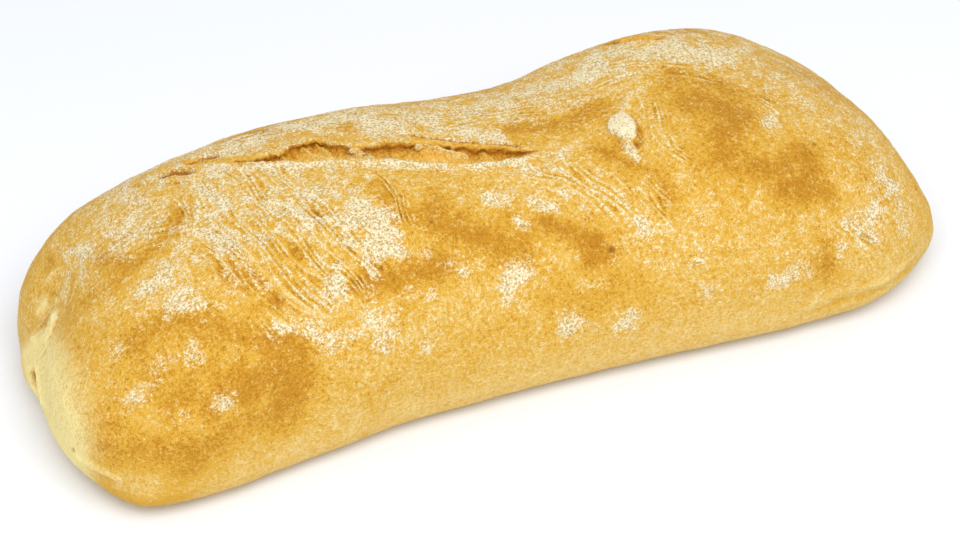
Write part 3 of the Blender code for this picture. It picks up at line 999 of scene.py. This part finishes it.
def grain_mesh(places, ups, widths, draw):
    """One mesh of small, flattened, uneven lumps, each turned its own way on the crust."""
    shape = bmesh.new()
    bmesh.ops.create_icosphere(shape, subdivisions=1, radius=0.5)
    lump = np.array([vert.co[:] for vert in shape.verts])
    sides = np.array([[vert.index for vert in face.verts] for face in shape.faces])
    shape.free()
    verts = []
    for place, up, width in zip(places.tolist(), ups.tolist(), widths.tolist()):
        turn = Matrix.Rotation(draw.random() * math.tau, 3, "Z")
        turn = Vector(up).to_track_quat("Z", "Y").to_matrix() @ turn
        stretch = Matrix.Diagonal((width, width * draw.uniform(0.6, 1), width * draw.uniform(0.3, 0.5)))
        bent = lump * draw.uniform(0.8, 1.15, size=lump.shape)
        placed = bent @ np.array((turn @ stretch).transposed()) + np.array(place)
        verts.append(placed + np.array(up) * width * GRAIN_LIFT)
    faces = sides[None] + np.arange(len(places))[:, None, None] * len(lump)
    mesh = bpy.data.meshes.new("flour")
    mesh.from_pydata(np.concatenate(verts).tolist(), [], faces.reshape(-1, 3).tolist())
    return mesh


class CIABATTA_OT_crust(bpy.types.Operator):
    """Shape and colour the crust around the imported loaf"""

    bl_idname = "ciabatta.crust"
    bl_label = "Crust"

    def execute(self, context):
        settings = context.scene.ciabatta_crust
        crust, tears = raw_crust(settings)
        sculpt(crust, tears, settings)
        triangles = sum(len(face.vertices) - 2 for face in crust.data.polygons)
        applied(crust, "DECIMATE", ratio=settings.triangles / triangles)
        drop_specks(crust.data)
        crust.data.shade_smooth()
        crust.data.materials.clear()
        crust.data.materials.append(crust_material(settings))
        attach(crust, "root")
        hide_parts("loaf")
        return {"FINISHED"}


class CIABATTA_OT_flour(bpy.types.Operator):
    """Strew loose flour where the crust is floury"""

    bl_idname = "ciabatta.flour"
    bl_label = "Flour"

    def execute(self, context):
        settings = context.scene.ciabatta_flour
        crust = bpy.data.objects.get("crust")
        if crust is None:
            raise RuntimeError("Shape the crust first")
        draw = np.random.default_rng(7)
        places, ups = grain_places(crust.data, draw, settings.grains)
        spread = settings.largest - settings.smallest
        widths = settings.smallest + spread * draw.random(settings.grains) ** 3
        mesh = grain_mesh(places, ups, widths, draw)
        mesh.shade_smooth()
        mesh.materials.append(flour_material(settings))
        flour = linked("flour", mesh)
        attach(flour, "root")
        return {"FINISHED"}


def lay_floor(settings):
    """The wide paper floor under the loaf."""
    sunk = Matrix.Translation((0, 0, -FLOOR_GAP * MM))
    shape = bmesh.new()
    bmesh.ops.create_grid(shape, x_segments=1, y_segments=1, size=settings.floor / 2, matrix=sunk)
    data = bpy.data.meshes.new("floor")
    shape.to_mesh(data)
    shape.free()
    data.materials.append(paper_material(settings))
    linked("floor", data)


def white_room(settings):
    """A world that lights the loaf from all round, and looks pure white to the camera."""
    world = bpy.data.worlds.new("white_room")
    world.use_nodes = True
    background = world.node_tree.nodes["Background"]
    seen = add(world.node_tree, "LightPath", output="Is Camera Ray")
    links = {"Value": seen, "To Min": settings.ambient, "To Max": 1.0}
    strength = add(world.node_tree, "MapRange", links)
    background.inputs["Color"].default_value = (1, 1, 1, 1)
    world.node_tree.links.new(strength, background.inputs["Strength"])
    return world


def hang_softbox(settings):
    """One large soft light, above the loaf and in front of it."""
    light = bpy.data.lights.new("softbox", "AREA")
    light.shape = "RECTANGLE"
    light.size, light.size_y = SOFTBOX_SIZE
    light.energy = settings.key
    lamp = linked("softbox", light)
    lamp.location = SOFTBOX_PLACE
    lamp.rotation_euler = (Vector(SOFTBOX_TARGET) - lamp.location).to_track_quat("-Z", "Y").to_euler()


def set_camera(settings):
    """The camera, at the height and the side that the loaf is shown from."""
    turn, rise = settings.turn, settings.elevation
    back = Vector((-math.sin(turn) * math.cos(rise), -math.cos(turn) * math.cos(rise), math.sin(rise)))
    lens = bpy.data.cameras.new("camera")
    lens.lens = settings.lens
    lens.clip_start = 0.01
    camera = linked("camera", lens)
    camera.location = Vector(settings.aim) + back * settings.distance
    camera.rotation_euler = (-back).to_track_quat("-Z", "Y").to_euler()
    return camera


class CIABATTA_OT_stage(bpy.types.Operator):
    """Set up the white floor, the soft light and the camera"""

    bl_idname = "ciabatta.stage"
    bl_label = "Stage"

    def execute(self, context):
        settings = context.scene.ciabatta_stage
        lay_floor(settings)
        hang_softbox(settings)
        context.scene.world = white_room(settings)
        context.scene.camera = set_camera(settings)
        context.scene.view_settings.view_transform = "Standard"
        return {"FINISHED"}


class CIABATTA_PT_panel(bpy.types.Panel):
    """The ciabatta's pieces and their settings"""

    bl_label = "Ciabatta"
    bl_space_type = "VIEW_3D"
    bl_region_type = "UI"
    bl_category = "Ciabatta"

    def draw(self, context):
        for operator, group in STEPS:
            box = self.layout.box()
            box.operator(operator.bl_idname)
            settings = getattr(context.scene, group)
            for name in settings.bl_rna.properties.keys():
                if name not in {"rna_type", "name"}:
                    box.prop(settings, name)


GROUPS = {
    "ciabatta_crust": CrustSettings,
    "ciabatta_flour": FlourSettings,
    "ciabatta_stage": StageSettings,
}
STEPS = [
    (CIABATTA_OT_crust, "ciabatta_crust"),
    (CIABATTA_OT_flour, "ciabatta_flour"),
    (CIABATTA_OT_stage, "ciabatta_stage"),
]
CLASSES = [*GROUPS.values(), CIABATTA_OT_crust, CIABATTA_OT_flour, CIABATTA_OT_stage, CIABATTA_PT_panel]


def register():
    """Add the classes, and the settings to every scene."""
    for made in CLASSES:
        bpy.utils.register_class(made)
    for name, group in GROUPS.items():
        setattr(bpy.types.Scene, name, PointerProperty(type=group))


def unregister():
    """Take the settings and the classes out again."""
    for name in GROUPS:
        delattr(bpy.types.Scene, name)
    for made in reversed(CLASSES):
        bpy.utils.unregister_class(made)


def main():
    """Make the pieces in order."""
    register()
    bpy.ops.ciabatta.crust()
    bpy.ops.ciabatta.flour()
    bpy.ops.ciabatta.stage()


if __name__ == "__main__":
    main()
